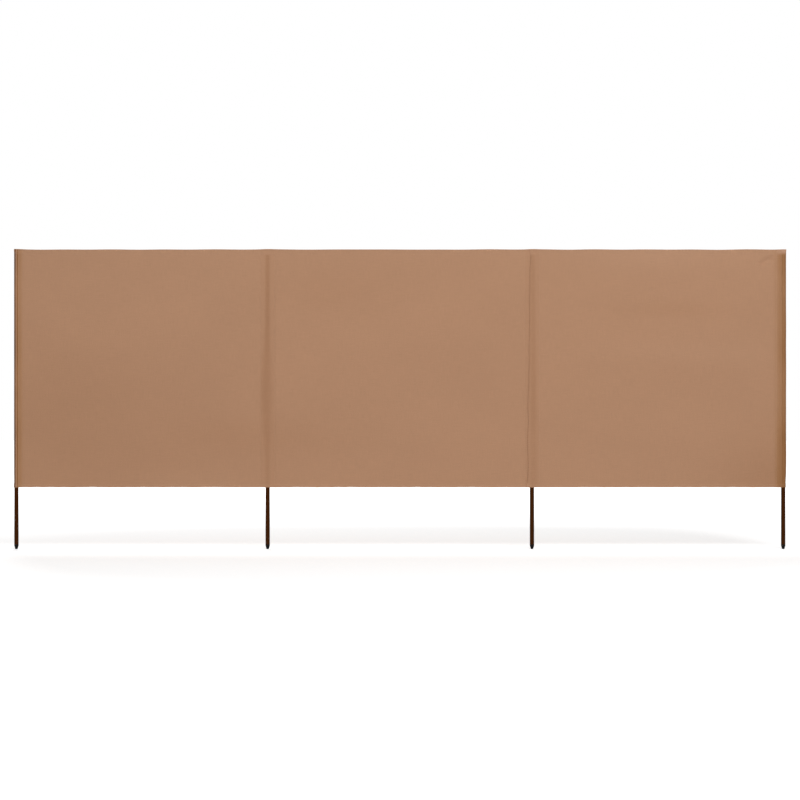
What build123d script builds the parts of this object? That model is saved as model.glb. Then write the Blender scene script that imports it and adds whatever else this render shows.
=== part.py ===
from build123d import *
import os

# Beach windbreak: three bays of cloth on four upright tube poles, in millimetres.
# The origin is the foot of the left inner pole, X runs along the bays, Y to the back and Z up.

# The run
outer_bay = 1270.0  # pole axis to pole axis, at both ends of the run
middle_bay = 1336.0  # pole axis to pole axis
bare_length = 314.0  # foot to the lower edge of the cloth

# The poles
pole_diameter = 22.0
pole_wall = 1.0
plug_length = 22.0  # depth of a point or a cap in its tube
plug_clearance = 0.1

# The points
point_length = 24.0
point_collar = 6.0  # straight part next to the tube
foot_diameter = 12.0
foot_edge_bevel = 2.0

# The caps
cap_head = 3.0

# The cloth
cloth_height = 1200.0
cloth_thickness = 0.6
top_hem_height = 25.0
bottom_hem_height = 15.0
hem_layers_share = 2.0  # layers of cloth turned to the back
hem_fold_radius = 1.0
sleeve_clearance = 0.3  # round a pole, and between a sleeve and the cloth beside it
end_sleeve_width = 46.0  # outer fold to seam
seam_margin = 10.0  # doubled cloth past a seam

# Worked out from the sizes above
pole_radius = pole_diameter / 2
bore_radius = pole_radius - pole_wall
plug_radius = bore_radius - plug_clearance
tunnel_radius = pole_radius + sleeve_clearance
sleeve_radius = tunnel_radius + cloth_thickness
sleeve_reach = sleeve_radius + sleeve_clearance  # pole axis to the cloth of a bay
seam_offset = end_sleeve_width - sleeve_radius  # end pole's axis to its seam
end_reach = seam_offset + seam_margin  # end pole's axis to the cloth of a bay
cloth_top = bare_length + cloth_height
tunnel_top = cloth_top - top_hem_height
cap_top = tunnel_top - sleeve_clearance
tube_top = cap_top - cap_head
hem_thickness = hem_layers_share * cloth_thickness
cloth_back = cloth_thickness / 2
right_end_x = middle_bay + outer_bay

# Each pole's place along X, and the side on which an end pole carries its cloth
poles = {
    "left_end": (-outer_bay, 1),
    "left_inner": (0, 0),
    "right_inner": (middle_bay, 0),
    "right_end": (right_end_x, -1),
}

# Each bay's first and last X, and whether those ends meet an inner sleeve
bays = {
    "left": (-outer_bay + end_reach, -sleeve_reach, False, True),
    "middle": (sleeve_reach, middle_bay - sleeve_reach, True, True),
    "right": (middle_bay + sleeve_reach, right_end_x - end_reach, True, False),
}

os.makedirs("parts", exist_ok=True)


def save(builder, name):
    """Label a finished piece and write it to its own file."""
    builder.part.label = name
    export_step(builder.part, f"parts/{name}.step")


def upright_plane(x):
    """A plane that faces the front at x, with local X along the run and local Y up."""
    return Plane((x, 0, 0), x_dir=(1, 0, 0), z_dir=(0, -1, 0))


def section_plane(x):
    """A plane across the run at x, with local X to the back and local Y up."""
    return Plane((x, 0, 0), x_dir=(0, 1, 0), z_dir=(1, 0, 0))


# Poles: plain tube from the point's shoulder to the cap's head
for name, (x, side) in poles.items():
    with BuildPart() as pole:
        with BuildSketch(Plane((x, 0, point_length))):
            Circle(pole_radius)
            Circle(bore_radius, mode=Mode.SUBTRACT)
        extrude(amount=tube_top - point_length)
    save(pole, f"{name}_pole")

# Points: a blunt taper under a collar, with a plug that fills the end of the tube
for name, (x, side) in poles.items():
    with BuildPart() as point:
        with BuildSketch(upright_plane(x)):
            with BuildLine():
                Polyline(
                    (0, 0),
                    (foot_diameter / 2, 0),
                    (pole_radius, point_length - point_collar),
                    (pole_radius, point_length),
                    (plug_radius, point_length),
                    (plug_radius, point_length + plug_length),
                    (0, point_length + plug_length),
                    close=True,
                )
            make_face()
        revolve(axis=Axis((x, 0, 0), (0, 0, 1)))
        foot_edge = point.faces().sort_by(Axis.Z)[0].edges()
        chamfer(foot_edge, foot_edge_bevel)
    save(point, f"{name}_point")

# Caps: a flat head over a plug
for name, (x, side) in poles.items():
    with BuildPart() as cap:
        with BuildSketch(Plane((x, 0, tube_top - plug_length))):
            Circle(plug_radius)
        extrude(amount=plug_length)
        with BuildSketch(Plane((x, 0, tube_top))):
            Circle(pole_radius)
        extrude(amount=cap_head)
    save(cap, f"{name}_cap")

# Sleeves: a tunnel that is open below and pressed flat into the hem above the pole.
# At an end pole its two walls run on, tangent to the pole, to the seam and its margin.
for name, (x, side) in poles.items():
    with BuildPart() as sleeve:
        with BuildSketch(Plane((x, 0, bare_length))) as wrap:
            Circle(sleeve_radius)
            if side:
                with Locations((side * seam_offset, 0)):
                    Rectangle(cloth_thickness, 2 * cloth_thickness)
                make_hull()
        extrude(amount=cloth_height)
        with BuildSketch(section_plane(x)):
            with BuildLine():
                Polyline(
                    (-sleeve_radius, bare_length),
                    (sleeve_radius, bare_length),
                    (sleeve_radius, tunnel_top),
                    (hem_thickness, cloth_top),
                    (-hem_thickness, cloth_top),
                    (-sleeve_radius, tunnel_top),
                    close=True,
                )
            make_face()
        extrude(amount=end_sleeve_width, both=True, mode=Mode.INTERSECT)
        if side:
            with BuildSketch(Plane((x + side * (seam_offset + end_reach) / 2, 0, bare_length))):
                Rectangle(seam_margin, 2 * cloth_thickness)
            extrude(amount=cloth_height)
        with BuildSketch(Plane((x, 0, bare_length))):
            add(wrap.sketch_local)
            offset(amount=-cloth_thickness, mode=Mode.REPLACE)
        extrude(amount=tunnel_top - bare_length, mode=Mode.SUBTRACT)
    save(sleeve, f"{name}_sleeve")

# Panels: one flat sheet for each bay, with a second layer at the back beside an inner sleeve
for name, (start, end, inner_start, inner_end) in bays.items():
    with BuildPart() as panel:
        with BuildSketch(Plane(((start + end) / 2, 0, bare_length))):
            Rectangle(end - start, cloth_thickness)
        extrude(amount=cloth_height)
        margins = []
        if inner_start:
            margins.append(start + seam_margin / 2)
        if inner_end:
            margins.append(end - seam_margin / 2)
        for x in margins:
            with BuildSketch(Plane((x, cloth_thickness, bare_length + bottom_hem_height))):
                Rectangle(seam_margin, cloth_thickness)
            extrude(amount=cloth_height - bottom_hem_height - top_hem_height)
    save(panel, f"{name}_panel")

# Hems: the upper and lower edges of each bay, turned to the back with a round fold
for name, (start, end, inner_start, inner_end) in bays.items():
    with BuildPart() as top_hem:
        with BuildSketch(section_plane(start)):
            with Locations((cloth_back, cloth_top)):
                Rectangle(hem_thickness, top_hem_height, align=(Align.MIN, Align.MAX))
        extrude(amount=end - start)
        fold = top_hem.edges().filter_by(Axis.X).group_by(Axis.Z)[-1].sort_by(Axis.Y)[-1]
        fillet(fold, hem_fold_radius)
    save(top_hem, f"{name}_top_hem")

    with BuildPart() as bottom_hem:
        with BuildSketch(section_plane(start)):
            with Locations((cloth_back, bare_length)):
                Rectangle(hem_thickness, bottom_hem_height, align=(Align.MIN, Align.MIN))
        extrude(amount=end - start)
        fold = bottom_hem.edges().filter_by(Axis.X).group_by(Axis.Z)[0].sort_by(Axis.Y)[-1]
        fillet(fold, hem_fold_radius)
    save(bottom_hem, f"{name}_bottom_hem")
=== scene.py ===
import bpy
import numpy as np
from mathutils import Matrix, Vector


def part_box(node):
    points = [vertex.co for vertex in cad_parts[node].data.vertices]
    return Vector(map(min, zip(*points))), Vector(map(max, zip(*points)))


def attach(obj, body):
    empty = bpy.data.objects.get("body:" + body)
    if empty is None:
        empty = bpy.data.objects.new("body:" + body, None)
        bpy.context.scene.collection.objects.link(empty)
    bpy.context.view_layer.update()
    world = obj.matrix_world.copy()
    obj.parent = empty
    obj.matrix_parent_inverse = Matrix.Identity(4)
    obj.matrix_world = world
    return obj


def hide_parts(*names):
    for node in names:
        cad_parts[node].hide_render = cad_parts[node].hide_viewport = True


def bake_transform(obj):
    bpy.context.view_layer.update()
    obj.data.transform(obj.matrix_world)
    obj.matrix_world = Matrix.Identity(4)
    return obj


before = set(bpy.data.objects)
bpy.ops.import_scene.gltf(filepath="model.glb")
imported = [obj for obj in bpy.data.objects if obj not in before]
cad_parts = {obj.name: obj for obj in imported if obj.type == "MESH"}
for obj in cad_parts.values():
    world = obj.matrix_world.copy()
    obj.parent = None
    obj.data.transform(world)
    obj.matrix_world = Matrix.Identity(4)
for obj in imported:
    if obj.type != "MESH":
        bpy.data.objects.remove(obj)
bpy.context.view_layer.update()  # all below is in metres, in the CAD frame: X along the run, Y to the back, Z up
mm = 0.001
print("frame loaded:", len(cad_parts), "CAD nodes")

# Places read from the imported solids
poleNames = ("left_end", "left_inner", "right_inner", "right_end")
innerNames = ("left_inner", "right_inner")
poleX = {name: sum(corner.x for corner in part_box(name + "_pole")) / 2 for name in poleNames}
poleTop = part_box("left_end_cap")[1].z
clothLow, clothHigh = (corner.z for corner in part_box("middle_panel"))
clothHeight = clothHigh - clothLow
bayEnds = {
    "left": (poleX["left_end"], poleX["left_inner"]),
    "middle": (poleX["left_inner"], poleX["right_inner"]),
    "right": (poleX["right_inner"], poleX["right_end"]),
}
halfTurn = np.linspace(0, np.pi, 7)  # angles round a turned edge


def linearColour(hexText):  # sRGB hex to the linear colour that a socket takes
    srgb = np.array([int(hexText[i:i + 2], 16) for i in (1, 3, 5)]) / 255
    return (*np.where(srgb <= 0.04045, srgb / 12.92, ((srgb + 0.055) / 1.055) ** 2.4), 1.0)


def addNode(tree, kind, inputs=None, **settings):  # a node with its settings, values and incoming links
    node = tree.nodes.new(kind)
    for name, value in settings.items():
        setattr(node, name, value)
    for name, value in (inputs or {}).items():
        if isinstance(value, bpy.types.NodeSocket):
            tree.links.new(value, node.inputs[name])
        else:
            node.inputs[name].default_value = value
    return node


def newMaterial(name):
    material = bpy.data.materials.new(name)
    material.use_nodes = True
    material.node_tree.nodes.clear()
    return material


def smooth(t):  # 0 to 1 with level ends
    t = np.clip(t, 0, 1)
    return t * t * (3 - 2 * t)


def bell(t):  # 1 at 0, and falling away on both sides
    return np.exp(-t ** 2)


def waves(x, z, height, seed, count, shortest, longest):
    # Sum of plane sine waves in seeded random directions and phases, with lengths spread evenly by ratio
    rng = np.random.default_rng(seed)
    pitch = 2 * np.pi / np.exp(rng.uniform(np.log(shortest), np.log(longest), count))
    way, phase = rng.uniform(0, np.pi, count), rng.uniform(0, 2 * np.pi, count)
    x, z = np.broadcast_arrays(x, z)
    along = np.cos(way) * x[..., None] + np.sin(way) * z[..., None]
    return height * (np.sin(pitch * along + phase).sum(-1) / np.sqrt(count / 2))


def upWaves(z, settings):  # the same waves, read straight up the cloth
    return waves(np.zeros_like(z), z, *settings)


def nearestPole(x):  # distance along the run
    return np.min([abs(x - place) for place in poleX.values()], axis=0)


# Cloth: one front sheet, which passes in front of the inner poles and round the end poles.
# Waves are given here and below by height, seed, how many, and the shortest and longest in metres
cloth = {
    "thickness": 0.5 * mm,
    "rest": 4.0 * mm,  # mid-bay cloth lies this far in front of the pole axes
    "overPole": 12.8 * mm,  # and this far at an inner pole
    "flat": 50 * mm,  # half width that stays level over an inner pole
    "reach": 430 * mm,  # then it eases back to rest
    "step": 7.6 * mm,  # grid along the run
    "rise": 8.8 * mm,  # grid up the cloth
    "billow": (1.1 * mm, 3, 10, 0.35, 0.9),
    "crumple": (0.22 * mm, 11, 16, 0.06, 0.2),
    "held": 0.15,  # share of the folds and waves left beside a pole
    "heldFrom": 20 * mm,  # they grow from this far
    "heldReach": 160 * mm,
    "foldFade": 0.3,  # share of a fold's length over which it starts and ends
}

# Soft folds of each bay: from and to, as shares along the bay and up the cloth, half width and height in mm
softFolds = {
    "left": [
        (0.00, 0.70, 1.00, 0.26, 150, 8.0),
        (0.05, 0.82, 0.36, 0.72, 50, -2.2),
        (0.02, 0.12, 0.45, 0.18, 110, -4.5),
        (0.40, 0.57, 0.80, 0.54, 35, 1.5),
        (0.55, 0.92, 0.98, 0.72, 90, 1.6),
    ],
    "middle": [
        (0.35, 0.62, 1.00, 0.88, 80, 2.4),
        (0.06, 0.30, 0.42, 0.22, 80, -3.0),
        (0.05, 0.86, 0.45, 0.78, 70, 1.4),
        (0.55, 0.25, 0.98, 0.40, 80, 1.4),
        (0.40, 0.80, 0.90, 0.76, 40, 1.0),
    ],
    "right": [
        (0.05, 0.84, 0.98, 0.70, 70, 2.6),
        (0.10, 0.56, 0.98, 0.50, 60, 2.2),
        (0.62, 0.16, 1.02, 0.42, 130, 5.0),
        (0.10, 0.30, 0.60, 0.18, 80, 1.4),
        (0.20, 0.74, 0.80, 0.70, 35, -1.4),
    ],
}
seamPulls = {"right": [(0.908, 0.938, 0.956, 0.968, 11, -9.0)]}  # the same, for a crease that a seam pulls in

# Hems, turned to the back. Heights are from the cloth's own edge
hem = {
    "top": 25 * mm,
    "bottom": 15 * mm,
    "fold": 0.55 * mm,  # radius of the turned edge
    "topSewn": 23 * mm,
    "bottomSewn": 12 * mm,
    "ridge": 0.7 * mm,  # the turned cloth pushes the front out, half as much at the top
    "topRidge": 29 * mm,
    "bottomRidge": 19 * mm,
    "ridgeEase": 7 * mm,
    "topZone": 34 * mm,  # other layers make room for a hem as far as this
    "bottomZone": 24 * mm,
    "zoneEase": 8 * mm,
    "topShift": -0.4 * mm,  # cloth's edges, set off from the panel's
    "bottomShift": -1.5 * mm,
    "topWaves": (0.5 * mm, 21, 8, 0.12, 0.6),
    "bottomWaves": (0.45 * mm, 29, 8, 0.06, 0.4),
    "topPeak": 1.2 * mm,  # small peak outwards at each pole
    "bottomPeak": 0.8 * mm,
    "peakWidth": 35 * mm,
}
pucker = {
    "seam": 0.45 * mm,
    "seamPitch": 52 * mm,
    "seamDrift": (2.2, 310 * mm),  # radians that the pitch wanders, and over what length
    "seamReach": 24 * mm,  # dies away from the seam
    "hem": 0.22 * mm,
    "hemPitch": 41 * mm,
    "hemDrift": (3.4, 230 * mm),
    "hemSlowDrift": (2.0, 530 * mm),
    "hemReach": 18 * mm,
    "groove": 0.4 * mm,  # a sewn row pulls the cloth in
    "seamGroove": 3.5 * mm,  # half widths
    "hemGroove": 3 * mm,
}

endSleeve = {
    "seam": 34.1 * mm,  # end pole's axis to its seam
    "margin": 10 * mm,  # doubled cloth past the seam
    "radius": 11.6 * mm,
    "hemFlare": 1.1 * mm,  # the turned hem below needs this much more room
    "flareHeight": 26 * mm,
    "flareEase": 12 * mm,
    "leaveFront": -58,  # degrees round the pole where the front leaves it
    "leaveBack": 62,
    "frontDrift": 5,  # degrees that those places wander up the pole
    "backDrift": -4,
    "drift": {"left": (1, 41, 6, 0.12, 0.7), "right": (1, 39, 6, 0.12, 0.7)},
    "frontPull": (7 * mm, 13 * mm),  # stiffness of the curves between the pole and the seam
    "backPull": (12 * mm, 8 * mm),
    "layers": 1.2 * mm,  # back layer behind the front one at the seam
    "hemLayers": 1.7 * mm,  # and this much more where both have hems
    "crease": 0.8 * mm,  # depth of the crease beside the pole
    "creaseAt": 9.5 * mm,
    "creaseWidth": 2.5 * mm,
    "slack": {"left": -0.3 * mm, "right": 2.95 * mm},  # loose cloth past the pole's outer side
    "slackWaves": {"left": (0.12, 51, 6, 0.2, 0.9), "right": (0.12, 49, 6, 0.2, 0.9)},
    "slackFoot": 80 * mm,  # it starts over this height
    "closeFrom": 1 * mm,  # above the pole's top the walls start to close
    "closeUnder": 4 * mm,
    "topGap": 1.45 * mm,  # each wall from the middle once closed
    "topEase": 8 * mm,
    "followFrom": 5 * mm,  # from the outer side inwards, the sleeve follows the bay's relief more and more
    "followReach": 30 * mm,
}
casing = {
    "seam": 37 * mm,  # inner pole's axis to each seam of the strip behind it
    "margin": 7 * mm,
    "radius": 12.4 * mm,
    "leave": 22,  # degrees from the run where the strip leaves the pole
    "leaveDrift": 6,
    "drift": {"left_inner": (1, 70, 6, 0.15, 0.8), "right_inner": (1, 71, 6, 0.15, 0.8)},
    "pull": (14 * mm, 9 * mm),
    "layers": 1.9 * mm,
    "topEdge": 3 * mm,  # the strip starts under the top edge
    "lowEdge": 17 * mm,  # and ends just above the bottom hem
    "closeFrom": 1 * mm,
    "closeUnder": 6 * mm,
    "topGap": 0.1 * mm,
    "followFrom": 14 * mm,
    "followReach": 20 * mm,
    "fresh": 0.97,  # share of the cloth's colour on the back
    "pressWidth": 13 * mm,
    "pressTop": 8 * mm,
}
join = {
    "left": 40 * mm,  # plain seam of the left and middle cloths, right of the left inner pole
    "rightTop": 10 * mm,  # folded edge of the right cloth over the middle one, left of the inner pole
    "rightBottom": 25 * mm,
    "rightWaves": (1.2 * mm, 77, 6, 0.08, 0.5),
    "under": 4 * mm,  # the middle cloth ends this far left of the right inner pole
    "turned": 9 * mm,
    "fold": 0.8 * mm,
    "lift": 2.3 * mm,  # one cloth over another
    "hemLift": 1.1 * mm,
    "liftEnd": 24 * mm,
    "liftEase": 34 * mm,
    "leftBend": (-36 * mm, 28 * mm),  # from and to where an outer cloth turns, from the inner pole's axis
    "rightBend": (-4 * mm, 36 * mm),
}
turnedMargin = np.array([join["turned"], join["turned"] / 2, 1.6 * mm])  # columns of a turned seam margin


def hemZone(z):  # 1 along the two hems, 0 between
    top = smooth((z - clothHigh + hem["topZone"]) / hem["zoneEase"])
    return top + smooth((clothLow + hem["bottomZone"] - z) / hem["zoneEase"])


def frontDepth(x):
    # How far the front sheet lies before the pole axes: level over an inner pole, eased to rest beside it
    near = np.min([abs(x - poleX[name]) for name in innerNames], axis=0)
    ease = smooth(1 - (near - cloth["flat"]) / cloth["reach"])
    return cloth["rest"] + (cloth["overPole"] - cloth["rest"]) * ease


def foldRelief(x, z, table):
    # Sum of folds, each bell-shaped across its line and faded at both ends
    relief = np.zeros(np.broadcast(x, z).shape)
    for bay, folds in table.items():
        start, end = bayEnds[bay]
        for fromAlong, fromUp, toAlong, toUp, width, height in folds:
            fromX, toX = start + fromAlong * (end - start), start + toAlong * (end - start)
            fromZ, toZ = clothLow + fromUp * clothHeight, clothLow + toUp * clothHeight
            alongX, alongZ = toX - fromX, toZ - fromZ
            length = np.hypot(alongX, alongZ)
            along = ((x - fromX) * alongX + (z - fromZ) * alongZ) / length ** 2
            across = ((z - fromZ) * alongX - (x - fromX) * alongZ) / length
            ends = smooth(along / cloth["foldFade"] + 0.5) * smooth((1 - along) / cloth["foldFade"] + 0.5)
            relief = relief + height * mm * ends * bell(across / (width * mm))
    return relief


def ripple(x, z):
    # Cloth's own relief towards the front: soft folds, slow billow and fine crumple from sine waves, all
    # damped near the poles, and puckers that die away from each seam and hem
    relief = foldRelief(x, z, softFolds)
    relief = relief + waves(x, z, *cloth["billow"])
    relief = relief + waves(x, z, *cloth["crumple"])
    free = smooth((nearestPole(x) - cloth["heldFrom"]) / cloth["heldReach"])
    relief = relief * (cloth["held"] + (1 - cloth["held"]) * free) + foldRelief(x, z, seamPulls)
    seams = [poleX["left_end"] + endSleeve["seam"], poleX["right_end"] - endSleeve["seam"]]
    seams += [poleX[name] + side * casing["seam"] for name in innerNames for side in (-1, 1)]
    swing, length = pucker["seamDrift"]
    for number, seam in enumerate(seams):
        beat = 2 * np.pi * z / pucker["seamPitch"] + swing * np.sin(2 * np.pi * z / length + number) + number
        relief = relief + pucker["seam"] * np.exp(-abs(x - seam) / pucker["seamReach"]) * np.sin(beat)
        relief = relief - pucker["groove"] * bell((x - seam) / pucker["seamGroove"])
    swing, length = pucker["hemDrift"]
    slowSwing, slowLength = pucker["hemSlowDrift"]
    for number, row in enumerate((clothHigh - hem["topSewn"], clothLow + hem["bottomSewn"])):
        beat = 2 * np.pi * x / pucker["hemPitch"] + swing * np.sin(2 * np.pi * x / length + number)
        beat = beat + slowSwing * np.sin(2 * np.pi * x / slowLength)
        relief = relief + pucker["hem"] * np.exp(-abs(z - row) / pucker["hemReach"]) * np.sin(beat)
        relief = relief - pucker["groove"] * bell((z - row) / pucker["hemGroove"])
    lowRidge = smooth((clothLow + hem["bottomRidge"] - z) / hem["ridgeEase"])
    highRidge = smooth((z - clothHigh + hem["topRidge"]) / hem["ridgeEase"])
    return relief + hem["ridge"] * (lowRidge + 0.5 * highRidge)


def edgeHeights(x):
    # Lower and upper edge: nearly straight, with slow waves and a small peak at each pole
    peak = bell(nearestPole(x) / hem["peakWidth"])
    high = clothHigh + hem["topShift"] + waves(x, 0.0, *hem["topWaves"]) + hem["topPeak"] * peak
    low = clothLow + hem["bottomShift"] + waves(x, 0.0, *hem["bottomWaves"]) - hem["bottomPeak"] * peak
    return low, high


def sheetRows():
    # Rows from the raw edge of the top hem over its fold, down the front, round the lower fold and up its
    # hem. Gives each row's height as a share of the cloth's, and its depth behind the front
    fold = hem["fold"]
    near = np.array([4, 8, 12, 14, 16, 18, 20, 23, 26, 30, 36]) * mm  # closer rows beside each edge
    top, bottom = clothHeight - near, near[::-1]
    middle = np.linspace(top[-1], bottom[0], int((top[-1] - bottom[0]) / cloth["rise"]))[1:-1]
    front = np.concatenate([top, middle, bottom])
    topHem = clothHeight - hem["top"] * np.array([1, 0.92, 0.68, 0.44, 0.2])
    bottomHem = hem["bottom"] * np.array([0.27, 0.53, 0.8, 1])
    topFold, bottomFold = clothHeight - fold + fold * np.sin(halfTurn), fold - fold * np.sin(halfTurn)
    topBack, bottomBack = fold + fold * np.cos(halfTurn), fold - fold * np.cos(halfTurn)
    level = np.concatenate([topHem, topFold, front, bottomFold, bottomHem])
    back = np.concatenate([0 * topHem + 2 * fold, topBack, 0 * front, bottomBack, 0 * bottomHem + 2 * fold])
    return level[:, None] / clothHeight, back[:, None]


rowLevel, rowBack = sheetRows()
rowZ = clothLow + rowLevel * clothHeight


def onPole(radius, angle):  # a point round a pole's axis, and the direction along the circle there
    return (radius * np.cos(angle), radius * np.sin(angle)), (-np.sin(angle), np.cos(angle))


def bend(start, startWay, end, endWay, pulls, count):
    # Cubic curve between two points that leaves and arrives along the given directions
    t = np.linspace(0, 1, count)
    shares = (1 - t) ** 3, 3 * t * (1 - t) ** 2, 3 * t ** 2 * (1 - t), t ** 3
    curve = []
    for i in (0, 1):
        handles = start[i], start[i] + pulls[0] * startWay[i], end[i] - pulls[1] * endWay[i], end[i]
        curve.append(sum(share * handle for share, handle in zip(shares, handles)))
    return curve


def newPiece(name, points, faces, material):  # a smooth piece with its material
    mesh = bpy.data.meshes.new(name)
    mesh.from_pydata(points.reshape(-1, 3).tolist(), [], faces)
    mesh.polygons.foreach_set("use_smooth", np.ones(len(faces), bool))
    mesh.materials.append(material)
    piece = bpy.data.objects.new(name, mesh)
    bpy.context.collection.objects.link(piece)
    return piece


def buildSheet(name, x, y, hemX, hemY, shade, level, back, material):
    # Rows by columns of points: x and y in plan, level times the height between the two edges, and hems set
    # back along the given direction. A solidify modifier gives the cloth its thickness
    low, high = edgeHeights(x)
    z = low + level * (high - low)
    x, y = x + back * hemX, y + back * hemY
    rows, columns = x.shape
    points = np.stack([x, y, z], -1)
    index = np.arange(rows * columns).reshape(rows, columns)
    quads = np.stack([index[:-1, :-1], index[1:, :-1], index[1:, 1:], index[:-1, 1:]], -1).reshape(-1, 4)
    piece = newPiece(name, points, quads.tolist(), material)
    mesh = piece.data
    stepAlong = np.linalg.norm(np.diff(points[rows // 2], axis=0), axis=1)
    stepUp = np.linalg.norm(np.diff(points[:, columns // 2], axis=0), axis=1)
    along, up = np.append(0, np.cumsum(stepAlong)), np.append(0, np.cumsum(stepUp))
    uv = np.stack(np.broadcast_arrays(along[None, :], up[:, None]), -1).reshape(-1, 2)
    mesh.uv_layers.new(name="clothMetres").data.foreach_set("uv", uv[quads.ravel()].ravel())
    tint = np.append(shade, np.ones((rows, columns, 1)), -1).astype(np.float32)
    mesh.attributes.new("shade", "FLOAT_COLOR", "POINT").data.foreach_set("color", tint.ravel())
    body = piece.modifiers.new("clothThickness", "SOLIDIFY")
    body.thickness, body.offset, body.use_rim = cloth["thickness"], 0, True
    flat = float(along[-1]), float(up[-1])
    print(name, "grid", rows, "x", columns, "flat %.3f x %.3f m" % flat)
    return piece, flat, points


# Tone: painted shade and light, as shares left of the cloth's colour. The dark poles and the doubled cloth show
# through as painted shade, with painted shadows, highlights and soft patches of shade and light besides. Tan
# cloth turns warmer as it darkens, so green and blue take a higher power of the same share
tone = {
    # Bands of painted shade and highlight across an end sleeve: mm from the pole's axis into the bay, then the
    # left and right end's share
    "bands": [
        (-14, 0.90, 0.74),  # outer fold, painted shade
        (-9, 0.76, 0.72),
        (-7.8, 0.20, 0.70),  # painted shade of the pole's dark outer side through the cloth
        (-3, 0.20, 0.70),
        (-1.9, 1.10, 0.72),  # painted highlight of the pole through the cloth, where the pole stretches it
        (1.9, 1.10, 0.72),
        (3, 0.52, 0.73),  # painted shade of the pole's inner side
        (7, 0.52, 0.73),
        (8.2, 0.87, 0.83),  # painted shade of the doubled cloth as far as the seam
        (20, 0.87, 0.83),
        (30, 0.96, 0.90),  # its margin, painted shade fading out
        (44, 1, 0.97),
        (54, 1, 1),
    ],
    "bandWaves": (0.08, 90, 5, 0.1, 0.6),
    "overTop": {"left": 0.8, "right": -0.3},  # part of that darkening left above the pole's top
    "overTopFrom": 14 * mm,
    "overTopEase": 20 * mm,
    "lowCornerShade": 0.05,  # painted shade, taken away more at the foot of the right sleeve
    "cornerHeight": 0.5,
    "endBack": 0.80,  # painted shade behind the pole: share left there, and all of it by the seam
    "endBackFrom": 10 * mm,
    "endBackEase": 26 * mm,
    "turnFrom": -4 * mm,  # and at the outer side it runs into the front's tone
    "turnEase": 8 * mm,
    "double": 0.02,  # painted shade, taken away over the casing strips where the cloth is doubled
    "doublePast": 6 * mm,
    "doubleEase": 8 * mm,
    "lapShadowLine": 0.15,  # painted shadow of the right cloth's folded edge, taken away along it
    "lapWidth": 4.5 * mm,
    "lapTop": 0.7,  # part of that line at the top, and more downwards
    "lapDown": 0.4,
    "lapHem": 1.6,  # over 1, so that the line turns to a painted highlight at the hems
    "topEdge": 0.012,  # painted shade along the top edge, where the hem doubles the cloth; taken away
    "topEdgeHeight": 12 * mm,
    "topEdgeEase": 5 * mm,
    "bottomHem": 0.018,  # painted highlight over the bottom hem's ridge; added
    "bottomHemEase": 4 * mm,
    "warmFlat": (1, 1.32, 1.7),
    "warmSleeve": (1, 1.4, 2.3),
    # Painted shade and light in soft patches, a negative share lightening: bay, place as shares along it and up
    # the cloth, half width and height in mm, share lost
    "shadingPatches": [
        ("left", 0.25, 0.05, 800, 420, 0.035),
        ("left", 0.12, 0.40, 450, 300, 0.03),
        ("left", 0.85, 0.22, 260, 90, 0.03),
        ("left", 0.65, 0.03, 330, 45, -0.03),
        ("left", 0.70, 0.90, 700, 350, -0.008),
        ("middle", 0.22, 0.83, 300, 110, 0.025),
        ("middle", 0.15, 0.20, 250, 100, 0.025),
        ("right", 0.50, 0.98, 450, 90, -0.05),
        ("right", 0.58, 0.75, 260, 45, 0.035),
        ("right", 0.60, 0.57, 420, 60, -0.025),
        ("right", 1.00, 0.05, 330, 330, 0.045),
        ("right", 0.95, 0.02, 280, 160, 0.045),
    ],
}

# Painted shade: band where an inner pole presses on the cloth and shows dark through it. Heights are shares down
# from the top edge
innerPoleShade = {
    "share": 0.12,  # of the colour, taken away
    "halfWidth": 12 * mm,
    "edge": 2.6,  # power that shapes the band's sides
    "thin": 0.25,  # power by which a wider band is paler
    "bulge": 1.3,  # left pole: the band is wider round this height, and set to the left there
    "bulgeAt": 0.60,
    "bulgeHeight": 0.17,
    "bulgeShift": -5 * mm,
    "spread": 0.6,  # right pole: the band widens, drifts and darkens downwards
    "start": 2 * mm,
    "drift": 6 * mm,
    "pale": 0.5,
    "darken": 0.45,
    "full": 1.05,  # both: paler in the lower third
    "lowLoss": 0.45,
    "lowFrom": 0.62,
    "lowEase": 0.2,
    "above": 2 * mm,  # fades out over the pole's top
    "aboveEase": 10 * mm,
}


def warm(share, powers):
    return np.clip(share, 0.05, 1.2)[..., None] ** np.array(powers)


def poleShadeBand(name, x, z):
    # Flat-topped bell of painted shade across the pole, whose width, place and strength change with height
    down = (clothHigh - z) / clothHeight
    if name == "left_inner":
        widen = 1 + innerPoleShade["bulge"] * bell((down - innerPoleShade["bulgeAt"]) / innerPoleShade["bulgeHeight"])
        middle, strength = innerPoleShade["bulgeShift"] * (widen - 1), 1
    else:
        widen = 1 + innerPoleShade["spread"] * down
        middle = innerPoleShade["start"] + innerPoleShade["drift"] * down
        strength = innerPoleShade["pale"] + innerPoleShade["darken"] * down
    away = abs(x - poleX[name] - middle) / (innerPoleShade["halfWidth"] * widen)
    shadeBand = np.exp(-away ** innerPoleShade["edge"]) / widen ** innerPoleShade["thin"] * strength
    lower = smooth((down - innerPoleShade["lowFrom"]) / innerPoleShade["lowEase"])
    shadeBand = shadeBand * (innerPoleShade["full"] - innerPoleShade["lowLoss"] * lower)
    return shadeBand * smooth((poleTop + innerPoleShade["above"] - z) / innerPoleShade["aboveEase"])


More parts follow.
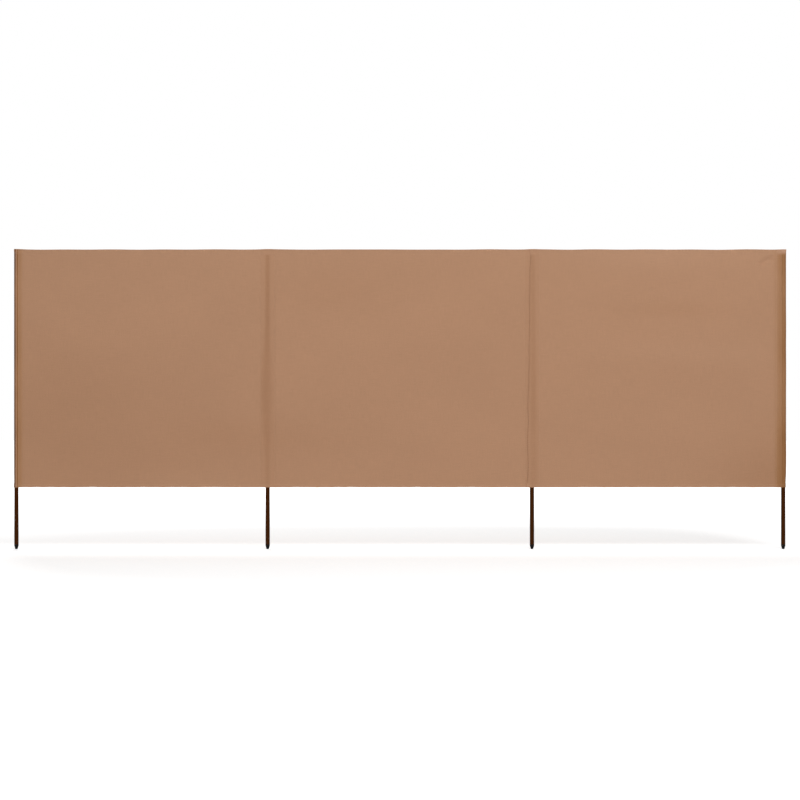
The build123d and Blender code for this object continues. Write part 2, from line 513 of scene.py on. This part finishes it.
def frontShade(x, z):
    # Painted shade and light in soft patches, painted shade where an inner pole presses, over doubled strips and
    # along the top edge, and a painted highlight over the bottom hem
    shade = np.ones(np.broadcast(x, z).shape)
    for bay, along, up, halfWidth, halfHeight, share in tone["shadingPatches"]:
        start, end = bayEnds[bay]
        awayX = (x - start - along * (end - start)) / (halfWidth * mm)
        awayZ = (z - clothLow - up * clothHeight) / (halfHeight * mm)
        shade = shade - share * np.exp(-awayX ** 2 - awayZ ** 2)
    for name in innerNames:
        shade = shade - innerPoleShade["share"] * poleShadeBand(name, x, z)
        over = casing["seam"] + tone["doublePast"] - abs(x - poleX[name])
        shade = shade - tone["double"] * smooth(over / tone["doubleEase"])
    underHem = clothLow + hem["bottom"] + tone["bottomHemEase"] - z
    shade = shade + tone["bottomHem"] * smooth(underHem / tone["bottomHemEase"])
    return shade - tone["topEdge"] * smooth((z - (clothHigh - tone["topEdgeHeight"])) / tone["topEdgeEase"])


def endShadeBands(end, offset):  # painted shade and highlight: share of colour left, by distance from an end pole's axis
    place, left, right = np.array(tone["bands"]).T
    return np.interp(offset, place * mm, left if end == "left" else right)


def sleeveShade(end, offset, z, front):
    # Painted shade: darkest where the end pole presses on the cloth and shows through, then the doubled cloth as
    # far as the seam, with the pole's painted highlight between, and painted shade behind the pole
    hidden = smooth((poleTop + tone["overTopFrom"] - z) / tone["overTopEase"])
    left = tone["overTop"][end] + (1 - tone["overTop"][end]) * hidden
    pressedShade = 1 - (1 - endShadeBands(end, offset)) * left * (1 + upWaves(z, tone["bandWaves"]))
    corner = smooth((clothLow + tone["cornerHeight"] - z) / tone["cornerHeight"])
    pressedShade = pressedShade - tone["lowCornerShade"] * (end == "right") * corner
    pressedShade = pressedShade * frontShade(poleX[end + "_end"] + 0 * z, z)
    behind = smooth((offset - tone["endBackFrom"]) / tone["endBackEase"])
    behind = tone["endBack"] + (1 - tone["endBack"]) * behind
    turn = smooth((tone["turnFrom"] - offset) / tone["turnEase"])
    behind = behind - (tone["endBack"] - endShadeBands(end, -endSleeve["radius"])) * turn
    return np.where(front, pressedShade, behind)


def sleevePath(end):
    # An end sleeve for every row, in plan: margin behind the seam, a curve to the back of the pole, an arc
    # round its outer side, and a curve from its front to the seam. Above the pole both walls close flat
    side, outer, z = (1 if end == "left" else -1), poleX[end + "_end"], rowZ
    seam, flatY = endSleeve["seam"], -cloth["rest"]
    backLayer = flatY + endSleeve["layers"] + endSleeve["hemLayers"] * hemZone(z)
    flare = smooth((clothLow + endSleeve["flareHeight"] - z) / endSleeve["flareEase"])
    radius = endSleeve["radius"] + endSleeve["hemFlare"] * flare
    slack = endSleeve["slack"][end] * (1 + upWaves(z, endSleeve["slackWaves"][end]))
    slack = slack * smooth((z - clothLow) / endSleeve["slackFoot"])
    drift = upWaves(z, endSleeve["drift"][end])
    frontAngle = np.radians(endSleeve["leaveFront"] + endSleeve["frontDrift"] * drift)
    backAngle = np.radians(endSleeve["leaveBack"] + endSleeve["backDrift"] * drift)
    marginX = np.linspace(seam + endSleeve["margin"], seam, 4)[:-1] + 0 * z
    backSeam, frontSeam = (seam + 0 * z, backLayer), (seam + 0 * z, flatY + 0 * z)
    backX, backY = bend(backSeam, (-1, 0), *onPole(radius, backAngle), endSleeve["backPull"], 12)
    turn = backAngle + (2 * np.pi + frontAngle - backAngle) * np.linspace(0, 1, 44)[1:-1]
    arcX, arcY = (radius + slack * smooth(-np.cos(turn))) * np.cos(turn), radius * np.sin(turn)
    frontX, frontY = bend(*onPole(radius, frontAngle), frontSeam, (1, 0), endSleeve["frontPull"], 18)
    frontY = frontY + endSleeve["crease"] * bell((frontX - endSleeve["creaseAt"]) / endSleeve["creaseWidth"])
    offset = np.concatenate([marginX, backX, arcX, frontX], 1)
    y = np.concatenate([backLayer + 0 * marginX, backY, arcY, frontY], 1)
    isFront = np.concatenate([0 * marginX, 0 * backX, np.sin(turn) < 0, 1 + 0 * frontX], 1) > 0.5

    # Above the pole
    closing = z - (poleTop + endSleeve["closeFrom"])
    close = 1 - smooth(closing / (clothHigh - endSleeve["closeUnder"] - poleTop))
    wall = np.where(isFront, -endSleeve["topGap"], endSleeve["topGap"])
    flat = flatY + wall * smooth((seam - offset) / endSleeve["topEase"])
    y = np.where(offset < seam - 0.001 * mm, flat + (y - flat) * close, y)

    runX, runY = np.gradient(offset, axis=1), np.gradient(y, axis=1)
    size = np.hypot(runX, runY)
    hemX, hemY = -runY / size, runX / size  # to the inside of the sleeve
    under = outer + side * np.maximum(offset, seam)
    follow = smooth((offset + endSleeve["followFrom"]) / endSleeve["followReach"])
    y = y + (cloth["rest"] - frontDepth(under) - ripple(under, z)) * follow
    shade = warm(sleeveShade(end, offset, z, isFront), tone["warmSleeve"])
    return [part[:, ::side] for part in (outer + side * offset, y, side * hemX, hemY, shade)]


def bayColumns(start, end):
    return np.linspace(start, end, int(round(abs(end - start) / cloth["step"])) + 1)


def clothLeft(material):
    # End sleeve, bay, flat strip over the inner pole, and the margin of the plain seam turned back under it
    outer, inner, fold = poleX["left_end"], poleX["left_inner"], join["fold"]
    edge = inner + join["left"]
    strip = inner + np.linspace(-43, 37, 41) * mm  # from outside one casing seam to the other
    front = np.concatenate([bayColumns(outer + endSleeve["seam"], inner - 48 * mm)[1:], strip])
    turned = edge - fold + fold * np.sin(halfTurn)
    plain = np.concatenate([front, turned, edge - turnedMargin[::-1]])[None, :] + 0 * rowZ
    depth = np.concatenate([0 * front, fold * (1 - np.cos(halfTurn)), 0 * turnedMargin + 2 * fold])
    plainY = depth - frontDepth(plain) - ripple(plain, rowZ)
    # Painted shade and light across the bay, with the end sleeve's painted shade and highlight running into it
    plainShade = warm(frontShade(plain, rowZ), tone["warmFlat"])
    plainShade = plainShade * warm(endShadeBands("left", plain - outer), tone["warmSleeve"])
    flat = plain, plainY, 0 * plain, 1 + 0 * plain, plainShade
    whole = [np.concatenate(parts, 1) for parts in zip(sleevePath("left"), flat)]
    return buildSheet("leftCloth", *whole, rowLevel, rowBack, material)


def clothMiddle(material):
    # Margin of the plain seam, its fold, the bay, and a plain edge that lies under the right cloth
    fold = join["fold"]
    edge, last = poleX["left_inner"] + join["left"], poleX["right_inner"] - join["under"]
    bay = bayColumns(edge + 12 * mm, last - 43 * mm)
    strip = last + np.append([-38], np.linspace(-33, 0, 9)) * mm  # its second column is on a casing seam
    front = np.concatenate([edge + np.array([3, 7]) * mm, bay, strip])
    turned = edge + fold - fold * np.sin(halfTurn)
    x = np.concatenate([edge + turnedMargin, turned, front])[None, :] + 0 * rowZ
    depth = np.concatenate([0 * turnedMargin + 2 * fold, fold * (1 + np.cos(halfTurn)), 0 * front])
    y = depth - frontDepth(x) - ripple(x, rowZ)
    shade = warm(frontShade(x, rowZ), tone["warmFlat"])
    return buildSheet("middleCloth", x, y, 0 * x, 1 + 0 * x, shade, rowLevel, rowBack, material)


def clothRight(material):
    # Folded edge that lies over the middle cloth, strip over the inner pole, bay and end sleeve
    inner, outer, fold = poleX["right_inner"], poleX["right_end"], join["fold"]
    seam = inner + casing["seam"]
    edge = inner - join["rightTop"] - (join["rightBottom"] - join["rightTop"]) * (1 - rowLevel)
    edge = edge - upWaves(rowZ, join["rightWaves"])
    first = edge + 2.2 * mm  # just past the fold
    near = first + (seam - first) * np.linspace(0, 1, 20) ** 1.1
    bay = bayColumns(inner + 52 * mm, outer - endSleeve["seam"])[:-1]
    beyond = np.append(seam + np.array([4.5, 9]) * mm, bay) + 0 * rowZ
    turned = edge + fold - fold * np.sin(halfTurn)
    plain = np.concatenate([edge + turnedMargin, turned, near, beyond], 1)
    front = np.zeros(near.shape[1] + beyond.shape[1])
    depth = np.concatenate([0 * turnedMargin + 2 * fold, fold * (1 + np.cos(halfTurn)), front])
    over = smooth((inner + join["liftEnd"] - plain) / join["liftEase"])
    over = (join["lift"] + join["hemLift"] * hemZone(rowZ)) * over
    plainY = depth - frontDepth(plain) - ripple(plain, rowZ) - over
    # Painted shadow along the folded edge, which turns to a painted highlight at the hems
    line = tone["lapShadowLine"] * bell((plain - edge) / tone["lapWidth"])
    line = line * (tone["lapTop"] + tone["lapDown"] * (1 - rowLevel)) * (1 - tone["lapHem"] * hemZone(rowZ))
    plainShade = warm(frontShade(plain, rowZ) - line, tone["warmFlat"])
    plainShade = plainShade * warm(endShadeBands("right", outer - plain), tone["warmSleeve"])
    flat = plain, plainY, 0 * plain, 1 + 0 * plain, plainShade
    whole = [np.concatenate(parts, 1) for parts in zip(flat, sleevePath("right"))]
    return buildSheet("rightCloth", *whole, rowLevel, rowBack, material)


def makeCasing(pole, name, material):
    # Strip behind an inner pole: from the right seam by a curve to the pole's side, round its back, and the
    # same on to the left seam. Above the pole it comes forward onto the front sheet
    rows = int(clothHeight / cloth["rise"])
    level = np.linspace(clothHeight - casing["topEdge"], casing["lowEdge"], rows)[:, None] / clothHeight
    z = clothLow + level * clothHeight
    seam, radius = casing["seam"], casing["radius"]
    layerY = casing["layers"] - cloth["overPole"] + 0 * z
    leave = np.radians(casing["leave"] + casing["leaveDrift"] * upWaves(z, casing["drift"][pole]))
    marginX = np.linspace(seam + casing["margin"], seam, 4)[:-1] + 0 * z
    marginY = layerY + 0 * marginX
    sideX, sideY = bend((seam + 0 * z, layerY), (-1, 0), *onPole(radius, leave), casing["pull"], 14)
    turn = leave + (np.pi - 2 * leave) * np.linspace(0, 1, 22)[1:-1]
    offset = np.concatenate([marginX, sideX, radius * np.cos(turn), -sideX[:, ::-1], -marginX[:, ::-1]], 1)
    y = np.concatenate([marginY, sideY, radius * np.sin(turn), sideY[:, ::-1], marginY], 1)
    closing = z - (poleTop + casing["closeFrom"])
    close = 1 - smooth(closing / (clothHigh - casing["closeUnder"] - poleTop))
    flatY = layerY + casing["topGap"]
    y = np.where(abs(offset) < seam - 0.001 * mm, flatY + (y - flatY) * close, y)
    x = poleX[pole] + offset
    follow = smooth((abs(offset) - casing["followFrom"]) / casing["followReach"])
    y = y + (cloth["overPole"] - frontDepth(x)) - ripple(x, z) * follow
    # Painted shade where the pole presses the strip and shows through it
    pressedShade = np.exp(-(abs(offset) / casing["pressWidth"]) ** 4) * smooth((poleTop - z) / casing["pressTop"])
    shade = warm(casing["fresh"] - innerPoleShade["share"] * pressedShade, tone["warmFlat"])
    return buildSheet(name, x, y, 0 * x, 0 * x, shade, level, 0 * level, material)


# Windbreak cloth: polyester canvas in plain weave, dyed tan. Matt threads that pass over and under each
# other, with thicker slubs, a faint fibre sheen and slow cloudy tone
canvasLook = {
    "colour": "#B0876A",
    "roughness": 0.88,
    "roughSpread": 0.06,  # more on a slub
    "specular": 0.1,
    "sheen": 0.12,
    "sheenTint": "#D8A884",
    "thread": 1.6,  # mm, drawn coarser than the real 0.5 mm so that a close view shows it
    "weaveTone": 0.07,
    "slubLength": 60,  # mm
    "slubWidth": 3.2,  # mm, two threads
    "slubTone": 0.045,
    "cloud": 420,  # mm, and twice as long along the run
    "cloudTone": 0.022,
}


def makeCanvas():
    material = newMaterial("wovenPolyesterCanvas")
    tree = material.node_tree
    metres = addNode(tree, "ShaderNodeUVMap", uv_map="clothMetres").outputs["UV"]
    shade = addNode(tree, "ShaderNodeAttribute", attribute_name="shade").outputs["Color"]

    # Weave: each cell shows a warp or a weft thread, round across its own width
    perThread = (1000 / canvasLook["thread"], 1000 / canvasLook["thread"], 1)
    threads = addNode(tree, "ShaderNodeMapping", {"Vector": metres, "Scale": perThread}).outputs[0]
    oneWave = 2 * np.pi / 20  # scale at which a band is one thread wide
    warpRound, weftRound = (addNode(tree, "ShaderNodeTexWave", {
        "Vector": threads, "Scale": oneWave}, bands_direction=way).outputs["Color"] for way in ("X", "Y"))
    weave = addNode(tree, "ShaderNodeTexChecker", {
        "Vector": threads, "Scale": 1.0, "Color1": warpRound, "Color2": weftRound}).outputs["Color"]

    # Slubs: noise stretched along the weft and along the warp. Clouds: slow noise
    long, thick = 1000 / canvasLook["slubLength"], 1000 / canvasLook["slubWidth"]
    slubs = []
    for scale in ((long, thick, 1), (thick, long, 1)):
        stretched = addNode(tree, "ShaderNodeMapping", {"Vector": metres, "Scale": scale}).outputs[0]
        noise = addNode(tree, "ShaderNodeTexNoise", {"Vector": stretched, "Scale": 1.0, "Detail": 1.0})
        slubs.append(noise.outputs["Fac"])
    slub = addNode(tree, "ShaderNodeMath", {0: slubs[0], 1: slubs[1]}, operation="ADD").outputs[0]
    slow = (500 / canvasLook["cloud"], 1000 / canvasLook["cloud"], 1)
    cloudMap = addNode(tree, "ShaderNodeMapping", {"Vector": metres, "Scale": slow}).outputs[0]
    cloud = addNode(tree, "ShaderNodeTexNoise", {
        "Vector": cloudMap, "Scale": 1.0, "Detail": 3.0, "Roughness": 0.55}).outputs["Fac"]

    # Each pattern lightens and darkens the dyed colour by its own share
    tones = []
    patterns = (weave, 0.0, 1.0, "weaveTone"), (slub, 0.6, 1.4, "slubTone"), (cloud, 0.3, 0.7, "cloudTone")
    for value, low, high, share in patterns:
        spread = canvasLook[share]
        tones.append(addNode(tree, "ShaderNodeMapRange", {
            "Value": value, "From Min": low, "From Max": high,
            "To Min": 1 - spread, "To Max": 1 + spread}).outputs[0])
    fineTone = addNode(tree, "ShaderNodeMath", {0: tones[0], 1: tones[1]}, operation="MULTIPLY").outputs[0]
    allTone = addNode(tree, "ShaderNodeMath", {0: fineTone, 1: tones[2]}, operation="MULTIPLY").outputs[0]
    dye = linearColour(canvasLook["colour"])[:3]
    dyed = addNode(tree, "ShaderNodeVectorMath", {0: dye, 1: shade}, operation="MULTIPLY").outputs[0]
    colour = addNode(tree, "ShaderNodeVectorMath", {0: dyed, "Scale": allTone}, operation="SCALE")
    height = addNode(tree, "ShaderNodeMath", {0: weave, 1: slub}, operation="ADD").outputs[0]
    bump = addNode(tree, "ShaderNodeBump", {"Height": height, "Strength": 0.35, "Distance": 0.4 * mm})
    rough = addNode(tree, "ShaderNodeMapRange", {
        "Value": slub, "From Min": 0.6, "From Max": 1.4,
        "To Min": canvasLook["roughness"] - canvasLook["roughSpread"],
        "To Max": canvasLook["roughness"] + canvasLook["roughSpread"]})
    fibre = addNode(tree, "ShaderNodeBsdfPrincipled", {
        "Base Color": colour.outputs[0], "Roughness": rough.outputs[0], "Normal": bump.outputs[0],
        "IOR": 1.5, "Specular IOR Level": canvasLook["specular"], "Sheen Weight": canvasLook["sheen"],
        "Sheen Roughness": 0.5, "Sheen Tint": linearColour(canvasLook["sheenTint"])})
    addNode(tree, "ShaderNodeOutputMaterial", {"Surface": fibre.outputs[0]})
    return material


# Stitches: rows of lockstitch, drawn longer and thicker than the real 2.5 mm so that a close view shows them
stitch = {
    "pitch": 4.2 * mm,
    "length": 3.4 * mm,
    "width": 0.75 * mm,
    "height": 0.55 * mm,
}


def threadLine(points, rows, columns):
    # Points along one row or column of a sheet, each with the direction out of the cloth there
    out = np.cross(np.gradient(points, axis=0), np.gradient(points, axis=1))[rows, columns]
    out = out / np.linalg.norm(out, axis=-1, keepdims=True)
    return np.concatenate([points[rows, columns], out], -1)


def sew(name, lines, material):
    # Stitches at an even pitch along each line. One stitch is a bead: two square rings between pointed ends
    spots = []
    for line in lines:
        length = np.append(0, np.cumsum(np.linalg.norm(np.diff(line[:, :3], axis=0), axis=1)))
        at = np.arange(stitch["pitch"], length[-1] - stitch["pitch"], stitch["pitch"])
        here = np.stack([np.interp(at, length, line[:, i]) for i in range(6)], -1)
        there = np.stack([np.interp(at + stitch["pitch"] / 2, length, line[:, i]) for i in range(3)], -1)
        spots.append(np.concatenate([here, there - here[:, :3]], -1))
    centre, out, along = np.split(np.concatenate(spots)[:, None, :], 3, axis=-1)
    along = along / np.linalg.norm(along, axis=-1, keepdims=True)
    across = np.cross(along, out)
    ring = [(0.5, 0), (0, 0.5), (-0.5, 0), (0, -0.5)]
    rings = [(end, *side) for end in (-0.28, 0.28) for side in ring]
    bead = np.array([(-0.5, 0, 0), *rings, (0.5, 0, 0)])  # shares of length, width and height
    points = centre + out * cloth["thickness"] / 2 + stitch["length"] * bead[:, :1] * along
    points = points + stitch["width"] * bead[:, 1:2] * across + stitch["height"] * bead[:, 2:] * out
    caps = [(0, 1, 2), (0, 2, 3), (0, 3, 4), (0, 4, 1), (9, 6, 5), (9, 7, 6), (9, 8, 7), (9, 5, 8)]
    walls = [(1, 5, 6, 2), (2, 6, 7, 3), (3, 7, 8, 4), (4, 8, 5, 1)]
    first = len(bead) * np.arange(len(points))[:, None, None]
    faces = (first + np.array(caps)).reshape(-1, 3).tolist()
    faces = faces + (first + np.array(walls)).reshape(-1, 4).tolist()
    print(name, len(points), "stitches")
    return newPiece(name, points, faces, material)


def makeGrained(name, look):
    # One noise gives both the drift between two tones and the relief
    material = newMaterial(name)
    tree = material.node_tree
    place = addNode(tree, "ShaderNodeTexCoord").outputs["Object"]
    grain = addNode(tree, "ShaderNodeTexNoise", {
        "Vector": place, "Scale": 1000 / look["grain"], "Detail": 2.0}).outputs["Fac"]
    ramp = addNode(tree, "ShaderNodeValToRGB", {"Fac": grain})
    for element, (position, colour) in zip(ramp.color_ramp.elements, look["tones"]):
        element.position, element.color = position, linearColour(colour)
    bump = addNode(tree, "ShaderNodeBump", {"Height": grain, "Strength": look["bump"], "Distance": 0.2 * mm})
    surface = addNode(tree, "ShaderNodeBsdfPrincipled", {
        "Base Color": ramp.outputs[0], "Normal": bump.outputs[0], **look["sockets"]})
    addNode(tree, "ShaderNodeOutputMaterial", {"Surface": surface.outputs[0]})
    return material


# Sewing thread: spun polyester, a little lighter than the cloth, with uneven fibre
threadLook = {
    "tones": ((0.3, "#B08A6E"), (0.7, "#C4A084")),
    "grain": 1.5,  # mm, drawn coarser than the real 0.2 mm
    "bump": 0.3,
    "sockets": {"Roughness": 0.7, "Specular IOR Level": 0.3, "Sheen Weight": 0.15},
}
canvas, thread = makeCanvas(), makeGrained("spunPolyesterThread", threadLook)
leftCloth, leftFlat, leftPoints = clothLeft(canvas)
middleCloth, middleFlat, middlePoints = clothMiddle(canvas)
rightCloth, rightFlat, rightPoints = clothRight(canvas)
leftCasing, leftCasingFlat, leftCasingPoints = makeCasing("left_inner", "leftInnerCasing", canvas)
rightCasing, rightCasingFlat, rightCasingPoints = makeCasing("right_inner", "rightInnerCasing", canvas)

# Rows and columns of the sheets that are sewn
backHemRows = (1, -2)  # top and bottom hem, on the back
hemRows = (backHemRows[0], 19, -14, backHemRows[1])  # with the same two on the front
frontRows = slice(12, -11)  # a sheet's rows without its hems
marginEnd = 3  # seam's column, past the margin of a sleeve or casing
sleeveEnd = 74  # the same seam on the front of an end sleeve
turnedEnd = 10  # first column past a turned margin and its fold


def columnAt(points, x):  # front column nearest to a place along the run
    return int(np.argmin(abs(points[len(points) // 2, :, 0] - x)))


# Hem rows, the seams of the end sleeves and of the casings, and the folded edge by the right inner pole
leftLines, middleLines, rightLines = [], [], []
for row in hemRows:
    inside = row in backHemRows  # the hem's back is out of reach inside an end sleeve
    leftLines.append(threadLine(leftPoints, row, slice(sleeveEnd if inside else 0, -turnedEnd)))
    middleLines.append(threadLine(middlePoints, row, slice(turnedEnd, -6)))  # to the right cloth's edge
    rightLines.append(threadLine(rightPoints, row, slice(turnedEnd, -sleeveEnd if inside else None)))
leftSeams = [columnAt(leftPoints, poleX["left_inner"] + side * casing["seam"]) for side in (1, -1)]
rightSeams = [columnAt(sheet, poleX["right_inner"] + side * casing["seam"])
              for sheet, side in ((rightPoints, 1), (middlePoints, -1))]
for column in (marginEnd, sleeveEnd, *leftSeams):
    leftLines.append(threadLine(leftPoints, frontRows, column))
middleLines.append(threadLine(middlePoints, frontRows, rightSeams[1]))
for column in (turnedEnd, rightSeams[0], -1 - marginEnd, -1 - sleeveEnd):
    rightLines.append(threadLine(rightPoints, frontRows, column))
for column in (marginEnd, -1 - marginEnd):
    leftLines.append(threadLine(leftCasingPoints, slice(None), column))
    rightLines.append(threadLine(rightCasingPoints, slice(None), column))
leftStitches = sew("leftStitches", leftLines, thread)
middleStitches = sew("middleStitches", middleLines, thread)
rightStitches = sew("rightStitches", rightLines, thread)

# Each outer cloth turns about the inner pole that it passes. Here the outer pieces are only fixed in place, and
# the middle cloth and its stitches go on the middle bay's body
for piece in (leftCloth, leftCasing, leftStitches):
    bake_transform(piece)
for piece in (rightCloth, rightCasing, rightStitches):
    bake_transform(piece)
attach(middleCloth, "middle_bay")
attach(middleStitches, "middle_bay")
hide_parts("left_panel", "left_top_hem", "left_bottom_hem", "left_end_sleeve")
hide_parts("middle_panel", "middle_top_hem", "middle_bottom_hem")
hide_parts("right_panel", "right_top_hem", "right_bottom_hem", "right_end_sleeve")
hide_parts("left_inner_sleeve")
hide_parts("right_inner_sleeve")

# Pole tube: steel, stove-enamelled dark brown. A thin glossy coat with a little orange peel
enamelLook = {
    "dark": "#331806",
    "light": "#40200B",
    "roughness": 0.3,
    "ior": 1.25,
    "specular": 0.2,
    "specularTint": "#D8864A",
    "peel": 3.0,  # mm
    "drift": 70,  # mm
}


def makeEnamel():
    material = newMaterial("stoveEnamelledSteelTube")
    tree = material.node_tree
    place = addNode(tree, "ShaderNodeTexCoord").outputs["Object"]
    peel = addNode(tree, "ShaderNodeTexNoise", {
        "Vector": place, "Scale": 1000 / enamelLook["peel"], "Detail": 1.0}).outputs["Fac"]
    drift = addNode(tree, "ShaderNodeTexNoise", {
        "Vector": place, "Scale": 1000 / enamelLook["drift"], "Detail": 2.0}).outputs["Fac"]
    ramp = addNode(tree, "ShaderNodeValToRGB", {"Fac": drift})
    for element, name in zip(ramp.color_ramp.elements, ("dark", "light")):
        element.color = linearColour(enamelLook[name])
    gloss = addNode(tree, "ShaderNodeMapRange", {
        "Value": drift, "From Min": 0.3, "From Max": 0.7,
        "To Min": enamelLook["roughness"] - 0.05, "To Max": enamelLook["roughness"] + 0.08})
    bump = addNode(tree, "ShaderNodeBump", {"Height": peel, "Strength": 0.08, "Distance": 0.3 * mm})
    paint = addNode(tree, "ShaderNodeBsdfPrincipled", {
        "Base Color": ramp.outputs[0], "Roughness": gloss.outputs[0], "Normal": bump.outputs[0],
        "IOR": enamelLook["ior"], "Specular IOR Level": enamelLook["specular"],
        "Specular Tint": linearColour(enamelLook["specularTint"])})
    addNode(tree, "ShaderNodeOutputMaterial", {"Surface": paint.outputs[0]})
    return material


# Points and caps: polyethylene, moulded black. Fine spark-eroded grain and a dull sheen
polyethyleneLook = {
    "tones": ((0, "#070606"), (1, "#0E0C0B")),
    "grain": 0.8,  # mm, drawn coarser than the real 0.2 mm
    "bump": 0.2,
    "sockets": {"Roughness": 0.5, "IOR": 1.51, "Specular IOR Level": 0.08},
}
enamel, polyethylene = makeEnamel(), makeGrained("mouldedBlackPolyethylene", polyethyleneLook)
for name in poleNames:
    for part, material in (("_pole", enamel), ("_point", polyethylene), ("_cap", polyethylene)):
        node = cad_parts[name + part]
        node.data.materials.clear()
        node.data.materials.append(material)
print("materials set")

# Stage: a pale floor, white to the camera and still shaded, under a white surround
studio = {
    "floorColour": "#E6E6E6",
    "floorRoughness": 0.9,
    "floorHalf": 30,  # metres
    "floorGlow": 0.47,  # near the object, so that its shadow shows
    "farGlow": 0.95,
    "glowFrom": 2.0,
    "glowTo": 6.0,
    "surround": 0.31,
}
centreX = (poleX["left_end"] + poleX["right_end"]) / 2


def seenShare(tree):  # 1 for what the camera, gloss and glass look at, 0 for light on the object
    rays = addNode(tree, "ShaderNodeLightPath").outputs
    seen = rays["Is Camera Ray"]
    for kind in ("Is Glossy Ray", "Is Transmission Ray"):
        seen = addNode(tree, "ShaderNodeMath", {0: seen, 1: rays[kind]}, operation="MAXIMUM").outputs[0]
    return seen


half = studio["floorHalf"]
floorMesh = bpy.data.meshes.new("studioFloor")
corners = [(-half, -half, 0), (half, -half, 0), (half, half, 0), (-half, half, 0)]
floorMesh.from_pydata(corners, [], [(0, 1, 2, 3)])
floor = bpy.data.objects.new("studioFloor", floorMesh)
bpy.context.collection.objects.link(floor)
paper = newMaterial("studioPaper")
tree = paper.node_tree
place = addNode(tree, "ShaderNodeTexCoord").outputs["Object"]
away = addNode(tree, "ShaderNodeVectorMath", {0: place, 1: (centreX, 0, 0)}, operation="DISTANCE")
pale = addNode(tree, "ShaderNodeMapRange", {
    "Value": away.outputs["Value"], "From Min": studio["glowFrom"], "From Max": studio["glowTo"],
    "To Min": studio["floorGlow"], "To Max": studio["farGlow"]}).outputs[0]
glow = addNode(tree, "ShaderNodeMath", {0: seenShare(tree), 1: pale}, operation="MULTIPLY")
matt = addNode(tree, "ShaderNodeBsdfPrincipled", {
    "Base Color": linearColour(studio["floorColour"]), "Roughness": studio["floorRoughness"],
    "Specular IOR Level": 0.0, "Emission Color": (1, 1, 1, 1), "Emission Strength": glow.outputs[0]})
addNode(tree, "ShaderNodeOutputMaterial", {"Surface": matt.outputs[0]})
floorMesh.materials.append(paper)

world = bpy.data.worlds.new("whiteSurround")
bpy.context.scene.world = world
world.use_nodes = True
tree = world.node_tree
tree.nodes.clear()
level = addNode(tree, "ShaderNodeMapRange", {
    "Value": seenShare(tree), "To Min": studio["surround"], "To Max": 1.0})
sky = addNode(tree, "ShaderNodeBackground", {"Color": (1, 1, 1, 1), "Strength": level.outputs[0]})
addNode(tree, "ShaderNodeOutputWorld", {"Surface": sky.outputs[0]})

# Soft lamps: place and aim from the middle of the run, size across in metres and power in watts
lamps = {
    "keyLamp": ((2.4, -8.8, 6.8), (0, 0, 0.9), 4.0, 570),
    "frontLamp": ((-1.4, -10.4, 0.6), (0, 0, 0.8), 1.1, 155),
    "backLamp": ((-3.0, 9.0, 6.0), (0, 0, 0.9), 4.0, 520),
}
for name, (place, aim, size, power) in lamps.items():
    lamp = bpy.data.lights.new(name, "AREA")
    lamp.shape, lamp.size, lamp.energy = "DISK", size, power
    holder = bpy.data.objects.new(name, lamp)
    holder.location = (centreX + place[0], place[1], place[2])
    alongX, alongY, alongZ = np.subtract(aim, place)
    holder.rotation_euler = (np.arctan2(np.hypot(alongX, alongY), -alongZ), 0, np.arctan2(-alongX, alongY))
    bpy.context.collection.objects.link(holder)

# Camera: square on, as the photo
view = {
    "lens": 100,  # mm
    "sensor": 36,  # mm
    "across": 4.044,  # metres across the photo at the cloth
    "shiftX": 0.9 * mm,  # from the middle of the run, and from half the height
    "shiftZ": -3.6 * mm,
    "reach": 100,  # metres
}
camera = bpy.data.cameras.new("photoCamera")
camera.lens, camera.sensor_width, camera.clip_end = view["lens"], view["sensor"], view["reach"]
viewer = bpy.data.objects.new("photoCamera", camera)
distance = view["across"] * view["lens"] / view["sensor"]
viewer.location = (centreX + view["shiftX"], -distance, clothHigh / 2 + view["shiftZ"])
viewer.rotation_euler = (np.pi / 2, 0, 0)
bpy.context.collection.objects.link(viewer)
bpy.context.scene.camera = viewer
bpy.context.scene.view_settings.view_transform = "Standard"
print("stage, lamps and camera set")
